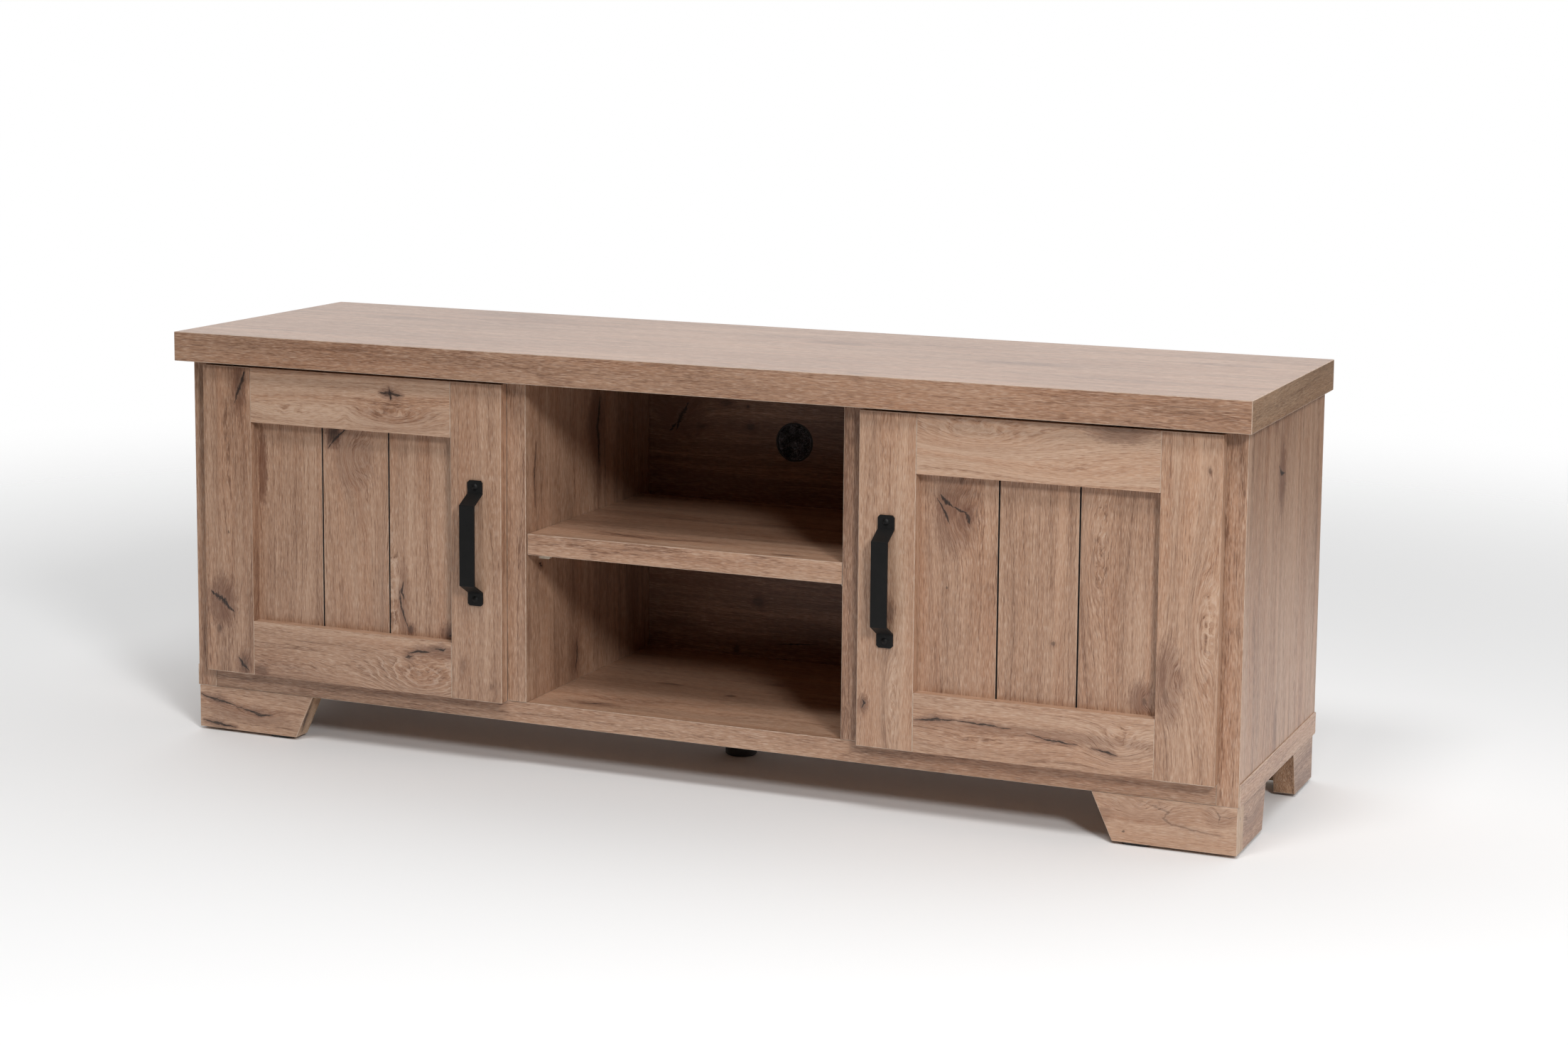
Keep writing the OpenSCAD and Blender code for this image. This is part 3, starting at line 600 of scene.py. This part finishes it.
def left_door():
    finish_board(
        "door_stile_outer_left", "ZX", 1, wave=1.1, tone=-0.12,
        knots=(
            knot(398, 58, 32, 9, 14, 0.35, 0.8), knot(98, 27, 28, 18, 26, 0.0, 0.85, 0.3),
            knot(60, 20, 8, 4, 4, 0.6, 0.5), knot(13, 60, 17, 9, 14, 0.5, 0.7),
            knot(196, 38, 3, 2, 0, 1.0, 0.0), knot(300, 30, 110, 10, 14)
        ),
        lines=(
            cracks(3.5, (420, 66), (408, 63), (396, 57), (376, 51))
            + cracks(5, (112, 8), (106, 16), (99, 28), (85, 45))
            + cracks(4, (24, 51), (14, 57), (4, 67))
        ))
    finish_board(
        "door_stile_inner_left", "ZX", 2, wave=1.0, tone=0.06,
        knots=(
            knot(43, 16, 14, 4, 6, 0.2, 0.4), knot(280, 57, 90, 9, 16), knot(150, 22, 80, 10, 14),
            knot(20, 60, 6, 3, 3, 0.3, 0.3), knot(400, 45, 70, 8, 12)
        ))
    finish_board(
        "door_rail_top_left", "XZ", 3, wave=1.4, tone=0.25,
        knots=(
            knot(218, 53, 10, 6, 10, 0.9, 0.8), knot(229, 20, 62, 15, 40, 0, 0.2, 0.6),
            knot(60, 12, 80, 13, 28, 0, 0, 0.35), knot(150, 18, 12, 12, -12, 0, 0.0, 0.5)
        ),
        lines=(
            cracks(3, (204, 54), (212, 53), (218, 53)) + cracks(3, (218, 53), (228, 51), (238, 52))
            + cracks(3, (216, 61), (219, 53), (221, 44))
        ))
    finish_board(
        "door_rail_bottom_left", "XZ", 4, wave=1.3, tone=0.04,
        knots=(
            knot(262, 12, 85, 34, 80, 0, 0, 1.0), knot(288, 64, 16, 5, 6, 0.3, 0.8),
            knot(305, 60, 40, 7, 0, 0, 0.7), knot(40, 8, 70, 14, 26, 0, 0.15, 0.5),
            knot(12, 8, 12, 8, 6, 0.35, 0.7), knot(130, 12, 46, 16, 22, 0, 0, 0.5)
        ),
        lines=(
            cracks(3, (302, 66), (296, 64), (284, 64)) + cracks(3.5, (278, 60), (258, 58), (244, 55))
            + cracks(3, (240, 49), (250, 51))
        ))
    finish_board(
        "door_panel_left", "ZX", 5, wave=1.0, tone=-0.02, groove=GROOVE,
        corner=pane_corner("left", "outer"), ease=0.2, planks=((PLANK, 0.09), (2 * PLANK, -0.03)),
        knots=(
            knot(214, 8, 42, 6, 6, 0.0, 1.0), knot(236, 152, 40, 26, 60, 0.0, 0.5, 0.6),
            knot(268, 122, 18, 11, 0, 0.7, 1.0), knot(165, 166, 26, 8, 14, 0, 0.2),
            knot(30, 204, 115, 13, 46, 0, 0, 1.0), knot(8, 238, 8, 6, 4, 0.7, 0.8),
            knot(4, 306, 14, 18, 6, 0.5, 0.9), knot(45, 229, 46, 7, 10, 0, 0.5)
        ),
        lines=(
            cracks(9, (252, 112), (264, 119), (280, 132), dark=0.5)
            + cracks(3, (247, 112), (262, 126), (278, 144)) + cracks(3, (72, 228), (58, 226), (48, 229))
            + cracks(2.4, (60, 222), (38, 224), (8, 236)) + cracks(4, (5, 298), (9, 310))
        ))


def right_door():
    finish_board(
        "door_stile_inner_right", "ZX", 6, wave=1.2, tone=0.13,
        knots=(
            knot(55, 9, 11, 6, 22, 0.35, 0.7, 0.4), knot(175, 44, 15, 5, 10, 0.4, 0.6),
            knot(70, 42, 70, 10, 26, 0, 0, 0.4), knot(399, 27, 70, 10, 20, 0, 0, 0.3),
            knot(260, 55, 70, 8, 14)
        ),
        lines=(
            cracks(1.8, (50, 7), (56, 11), (60, 7))
        ))
    finish_board(
        "door_stile_outer_right", "ZX", 7, wave=1.2, tone=0.12,
        knots=(
            knot(122, 16, 40, 15, 40, 0.0, 0.55, 0.6), knot(104, 12, 14, 5, 6, 0.3, 0.7),
            knot(132, 8, 26, 4, 0, 0.0, 0.8), knot(190, 52, 95, 15, 46, 0, 0, 0.6),
            knot(382, 60, 5, 3, 3, 0.5, 0.4), knot(330, 30, 80, 10, 14)
        ))
    finish_board(
        "door_rail_top_right", "XZ", 8, wave=1.4, tone=0.33,
        knots=(
            knot(70, 50, 100, 22, 60, 0, 0, 0.6), knot(260, 69, 34, 11, 30, 0.25, 0.6, 0.5),
            knot(190, 16, 80, 12, 24, 0, 0, 0.3)
        ))
    finish_board(
        "door_rail_bottom_right", "XZ", 9, wave=1.0, tone=0.11,
        knots=(
            knot(268, 33, 38, 24, 60, 0.0, 0.0, 0.7), knot(170, 41, 130, 6, 0, 0.0, 0.45),
            knot(90, 16, 80, 12, 18)
        ),
        lines=(
            cracks(2.6, (2, 42), (30, 45), (56, 46)) + cracks(2.0, (56, 46), (92, 45), (128, 43))
            + cracks(1.8, (150, 40), (184, 34), (214, 33))
            + cracks(2.2, (232, 31), (256, 27), (264, 25))
        ))
    finish_board(
        "door_panel_right", "ZX", 10, wave=1.0, tone=0.03, groove=GROOVE,
        corner=pane_corner("right", "inner"), ease=0.2, planks=((PLANK, 0.0), (2 * PLANK, -0.02)),
        knots=(
            knot(232, 46, 44, 24, 46, 0.0, 0.6, 0.5), knot(236, 38, 18, 16, 0, 0.0, 0.9),
            knot(226, 60, 15, 10, 0, 0.0, 0.95), knot(271, 55, 9, 5, 4, 0.5, 0.6),
            knot(134, 38, 3, 2, 0, 0.9, 0.0), knot(76, 176, 4.5, 4, 4, 0.8, 0.3),
            knot(190, 222, 110, 16, 44, 0, 0, 0.35), knot(19, 288, 18, 12, 22, 0.0, 0.75, 0.5),
            knot(16, 292, 7, 5, 4, 0.6, 0.6)
        ),
        lines=(
            cracks(4.5, (250, 27), (243, 33), (236, 42)) + cracks(2.5, (236, 42), (232, 52), (229, 61))
            + cracks(4, (230, 58), (224, 62), (216, 65)) + cracks(2.5, (245, 22), (228, 33), (214, 40))
        ))


# ---- Boards of the carcass

def top_and_bottom():
    finish_board(
        "top_panel", "XY", 11, wave=0.7, figure=0.6, gloss=0.2, tone=-0.10, ease=0.8,
        knots=(
            knot(195, 288, 48, 12, 16, 0.1, 0.45), knot(320, 384, 60, 20, 30, 0.1, 0.35),
            knot(392, 342, 40, 14, 20, 0.0, 0.35), knot(478, 418, 3, 4, 0, 0.8, 0.3),
            knot(377, 270, 60, 16, 24, 0.0, 0.0, 0.3), knot(1160, 202, 55, 14, 26, 0.1, 0.5),
            knot(863, 294, 40, 14, 26, 0.1, 0.45, 0.3), knot(898, 221, 60, 26, 44, 0.0, 0.0, 0.4),
            knot(1058, 256, 3, 3, 0, 0.8, 0.3), knot(1394, 307, 46, 12, 18, 0.0, 0.4),
            knot(995, 19, 12, 4, 6, 0.4, 0.5), knot(640, 120, 90, 16, 26), knot(1300, 90, 80, 14, 22)
        ))
    finish_board(
        "bottom_board", "XY", 12, wave=0.7, figure=0.7,
        knots=(
            knot(571, 34, 34, 9, 14, 0.2, 0.6), knot(612, 60, 40, 14, 30, 0.0, 0.2, 0.5),
            knot(717, 148, 8, 5, 6, 0.8, 0.6), knot(750, 231, 14, 6, 6, 0.3, 0.5),
            knot(740, 40, 70, 14, 30, 0.0, 0.0, 0.4)
        ),
        lines=(
            cracks(2.5, (551, 27), (572, 33), (591, 42))
            + cracks(1.6, (597, 175), (616, 176), (634, 173))
        ))


def uprights():
    finish_board("side_left", "ZY", 13, wave=1.0)
    finish_board(
        "side_right", "ZY", 14, wave=1.0, figure=0.9,
        knots=(
            knot(452, 137, 16, 8, 8, 0.0, 0.5), knot(405, 164, 28, 7, 6, 0.0, 0.5),
            knot(376, 172, 36, 14, 20, 0.0, 0.85), knot(416, 176, 3, 2, 0, 0.9, 0.0),
            knot(367, 188, 3, 2, 0, 0.9, 0.0), knot(54, 170, 28, 7, 10, 0.0, 0.6),
            knot(208, 39, 44, 10, 18), knot(300, 52, 120, 10, 16), knot(220, 311, 3, 2, 0, 0.9, 0.0),
            knot(130, 260, 100, 14, 24)
        ),
        lines=(
            cracks(3.4, (392, 155), (384, 164), (380, 174), (379, 185))
        ))
    finish_board("side_band_left", "YZ", 15, wave=0.4)
    finish_board("side_band_right", "YZ", 16, wave=0.4, tone=0.05)
    finish_board(
        "divider_left", "ZY", 17, wave=1.2, tone=-0.03,
        knots=(
            knot(350, 205, 40, 17, 22, 0.0, 0.9), knot(345, 190, 30, 10, 0, 0.2, 0.7),
            knot(290, 213, 46, 7, 8, 0.0, 0.6), knot(36, 144, 26, 9, 18, 0.25, 0.65, 0.3),
            knot(84, 324, 46, 12, 18, 0.0, 0.6), knot(89, 9, 30, 5, 6, 0.0, 0.5),
            knot(240, 90, 90, 12, 22)
        ),
        lines=(
            cracks(5, (384, 217), (366, 214), (342, 209), (318, 213), (284, 213))
            + cracks(1.6, (345, 30), (305, 25), (260, 27))
            + cracks(2.2, (58, 146), (34, 147), (12, 141)) + cracks(2, (182, 38), (178, 42), (176, 46))
        ))
    # The right divider's darker tone is painted shadow: the right door's shadow on its front edge.
    finish_board("divider_right", "ZY", 18, wave=1.1, tone=-0.32)


def back_and_shelves():
    # The back panel's dark tone is painted shade, for the little light that reaches the back of the bays.
    finish_board(
        "back_panel", "XZ", 19, wave=1.2, tone=-0.36,
        knots=(
            knot(540, 345, 32, 24, 34, 0.0, 0.8, 0.3), knot(574, 332, 9, 6, 8, 0.7, 0.6),
            knot(650, 335, 9, 7, 10, 0.9, 0.7), knot(612, 367, 14, 6, 6, 0.6, 0.6),
            knot(646, 364, 4, 3, 2, 0.8, 0.5), knot(664, 86, 11, 9, 14, 0.7, 0.8),
            knot(630, 15, 6, 9, 6, 0.9, 0.6), knot(542, 44, 40, 8, 8, 0.2, 0.7),
            knot(720, 31, 70, 5, 4, 0.0, 0.6), knot(900, 250, 90, 20, 30),
            knot(380, 180, 30, 14, 22, 0.3, 0.6)
        ),
        lines=(
            cracks(4, (554, 364), (546, 352), (540, 338), (535, 324))
            + cracks(3, (536, 334), (523, 322)) + cracks(1.6, (690, 28), (724, 30), (758, 33))
        ))
    finish_board(
        "shelf_middle", "XY", 20, wave=0.9,
        knots=(
            knot(130, 44, 60, 8, 12, 0.0, 0.6), knot(236, 50, 46, 7, 10, 0.0, 0.5),
            knot(190, 193, 50, 12, 30, 0.0, 0.0, 0.4), knot(365, 13, 16, 4, 5, 0.7, 0.6)
        ),
        lines=(
            cracks(1.8, (80, 57), (132, 43), (172, 37)) + cracks(1.6, (172, 40), (206, 46), (242, 51))
        ))
    finish_board("shelf_left", "XY", 21)
    finish_board("shelf_right", "XY", 22)


def feet():
    finish_board(
        "foot_front_board_left", "XZ", 23, wave=1.4, tone=0.22,
        knots=(
            knot(80, 24, 50, 10, 18, 0.0, 0.4),
        ),
        lines=(
            cracks(3.5, (2, 45), (30, 40), (62, 33)) + cracks(3, (62, 33), (96, 27), (118, 26))
            + cracks(3, (6, 9), (30, 6), (58, 4))
        ))
    finish_board(
        "foot_front_board_right", "XZ", 24, wave=1.4, tone=0.27,
        knots=(
            knot(64, 43, 40, 13, 34, 0.0, 0.25, 0.4), knot(161, 46, 15, 11, 16, 0.0, 0.3, 0.4),
            knot(16, 32, 10, 8, 6, 0.0, 0.45), knot(42, 13, 3, 2, 0, 0.9, 0.0)
        ),
        lines=(
            cracks(1.6, (58, 55), (80, 50), (97, 43), (91, 36), (102, 29), (130, 25), (164, 22),
                   dark=0.35)
            + cracks(1.6, (157, 54), (162, 47), (160, 37), dark=0.4)
            + cracks(1.4, (162, 47), (174, 46), (184, 50), dark=0.35)
        ))
    for seed, board in enumerate(("foot_side_board_left", "foot_side_board_right"), 25):
        finish_board(
            board, "YZ", seed, wave=1.4, tone=-0.26,
            knots=(
                knot(40, 30, 40, 12, 26, 0.1, 0.3),
            ))
    for seed, board in enumerate(("foot_rear_board_left", "foot_rear_board_right"), 27):
        finish_board(board, "YZ", seed, wave=1.0, tone=-0.28)


# ---- Fittings

def fittings():
    for side in ("left", "right"):
        finish_part("door_handle_" + side, "black_metal", 0.5)
        finish_part("handle_screws_" + side, "black_metal")
        for part in ("hinge_cups_", "cup_screws_", "hinge_arms_", "hinge_plates_"):
            finish_part(part + side, "steel")
    for part in ("hinge_plate_screws", "cam_locks", "cam_bolts", "base_screws", "back_panel_screws",
                 "foot_screws", "centre_foot_screws"):
        finish_part(part, "steel")
    for part in ("top_dowels", "base_dowels", "foot_dowels", "foot_blocks"):
        finish_part(part, "raw_wood")
    for part in ("shelf_supports_middle", "shelf_supports_sides"):
        finish_part(part, "cream_plastic")
    for part in ("foot_glides", "centre_foot", "centre_foot_sleeve", "cable_ring"):
        finish_part(part, "black_plastic")
    finish_part("cable_brush", "black_bristle")


# ---- Bristles that close the cable outlet, from its rim to its centre, on both faces of the brush disc

BRISTLES = 460
BRISTLE_ROOT, BRISTLE_TIP = 0.30 * MM, 0.14 * MM
BRISTLE_SIDES = 3
BRISTLE_LEAN = 0.32
BRISTLE_START, BRISTLE_SHORT, BRISTLE_LONG = 0.985, 0.90, 1.04
FULL_TURN = 2 * math.pi


def cable_bristles():
    low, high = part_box("cable_brush")
    reach = (high.x - low.x) / 2
    middle = (low + high) / 2
    mesh = bmesh.new()

    def ring(place, out, thick):
        back = Vector((0, 1, 0))
        side = out.cross(back)
        turns = [FULL_TURN * k / BRISTLE_SIDES for k in range(BRISTLE_SIDES)]
        return [mesh.verts.new(place + thick * (math.cos(a) * side + math.sin(a) * back)) for a in turns]

    stand_off = 1.5 * BRISTLE_ROOT
    for face_y in (low.y - stand_off, high.y + stand_off):
        for number in range(BRISTLES):
            angle = FULL_TURN * (number + draws.uniform(-0.5, 0.5)) / BRISTLES
            lean = angle + draws.uniform(-BRISTLE_LEAN, BRISTLE_LEAN)
            out = Vector((math.cos(angle), 0, math.sin(angle)))
            aim = Vector((math.cos(lean), 0, math.sin(lean)))
            root_y = face_y + draws.uniform(-1, 1) * BRISTLE_ROOT
            root = Vector((middle.x, root_y, middle.z)) + out * reach * BRISTLE_START
            tip = root - aim * reach * draws.uniform(BRISTLE_SHORT, BRISTLE_LONG)
            inner, outer = ring(tip, aim, BRISTLE_TIP), ring(root, aim, BRISTLE_ROOT)
            for k in range(BRISTLE_SIDES):
                after = (k + 1) % BRISTLE_SIDES
                mesh.faces.new((inner[k], inner[after], outer[after], outer[k]))
            mesh.faces.new(inner[::-1])
            mesh.faces.new(outer)
    bmesh.ops.recalc_face_normals(mesh, faces=mesh.faces)
    data = bpy.data.meshes.new("cable_bristles")
    mesh.to_mesh(data)
    mesh.free()
    bristles = bpy.data.objects.new("cable_bristles", data)
    scene.collection.objects.link(bristles)
    data.materials.append(MATERIALS["black_bristle"])
    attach(bristles, "cabinet")


# ---- Surroundings: a pale floor and soft studio lights round a white backdrop

# Name, place in metres, diameter in metres, power in watts
LIGHTS = (
    ("key", (2.95, -3.28, 2.65), 0.9, 104),
    ("overhead", (0.0, -2.50, 4.63), 1.4, 64),
    ("overhead_right", (1.52, -2.17, 4.54), 1.4, 56),
)
LIGHT_AIM = Vector((0, 0, 0.3))
WORLD_FRONT, WORLD_BACK = 0.0, 0.98
WHITE = (1, 1, 1, 1)

# The floor fades out between these distances from its centre
FLOOR_SOLID, FLOOR_GONE = 1.1, 3.4
FLOOR_REACH = 14
FLOOR_GREY = (0.88, 0.88, 0.88, 1)


def area_light(name, place, size, power):
    data = bpy.data.lights.new(name, "AREA")
    data.shape = "DISK"
    data.size = size
    data.energy = power
    light = bpy.data.objects.new(name, data)
    light.location = place
    light.rotation_mode = "QUATERNION"
    light.rotation_quaternion = (LIGHT_AIM - Vector(place)).to_track_quat("-Z", "Y")
    scene.collection.objects.link(light)


def make_world():
    world = bpy.data.worlds.new("studio")
    scene.world = world
    world.use_nodes = True
    t = Tree(world.node_tree)
    back = world.node_tree.nodes["Background"]
    ways = t.split(t.node("ShaderNodeTexCoord").outputs["Generated"])
    seen = t.node("ShaderNodeLightPath").outputs["Is Camera Ray"]
    above = t.span(ways["Z"], -0.05, 0.02)
    strength = t.times(above, t.span(ways["Y"], -0.25, 0.35, WORLD_FRONT, WORLD_BACK))
    back.inputs["Color"].default_value = WHITE
    t.put(back.inputs["Strength"], t.maths("MAXIMUM", strength, seen))


def make_stage():
    mesh = bpy.data.meshes.new("floor")
    reach = FLOOR_REACH
    mesh.from_pydata([(-reach, -reach, 0), (reach, -reach, 0), (reach, reach, 0), (-reach, reach, 0)],
                     [], [(0, 1, 2, 3)])
    floor = bpy.data.objects.new("floor", mesh)
    scene.collection.objects.link(floor)
    material, t, shader = new_material("floor")
    shader["Base Color"].default_value = FLOOR_GREY
    shader["Roughness"].default_value = 0.9
    shader["Specular IOR Level"].default_value = 0.1
    away = t.vector("LENGTH", t.node("ShaderNodeTexCoord").outputs["Object"])
    t.put(shader["Alpha"], t.span(away, FLOOR_SOLID, FLOOR_GONE, 1.0, 0.0, smooth=True))
    mesh.materials.append(material)


make_camera()
left_door()
right_door()
top_and_bottom()
uprights()
back_and_shelves()
feet()
fittings()
cable_bristles()
make_world()
make_stage()
for light in LIGHTS:
    area_light(*light)
scene.view_settings.view_transform = "Standard"
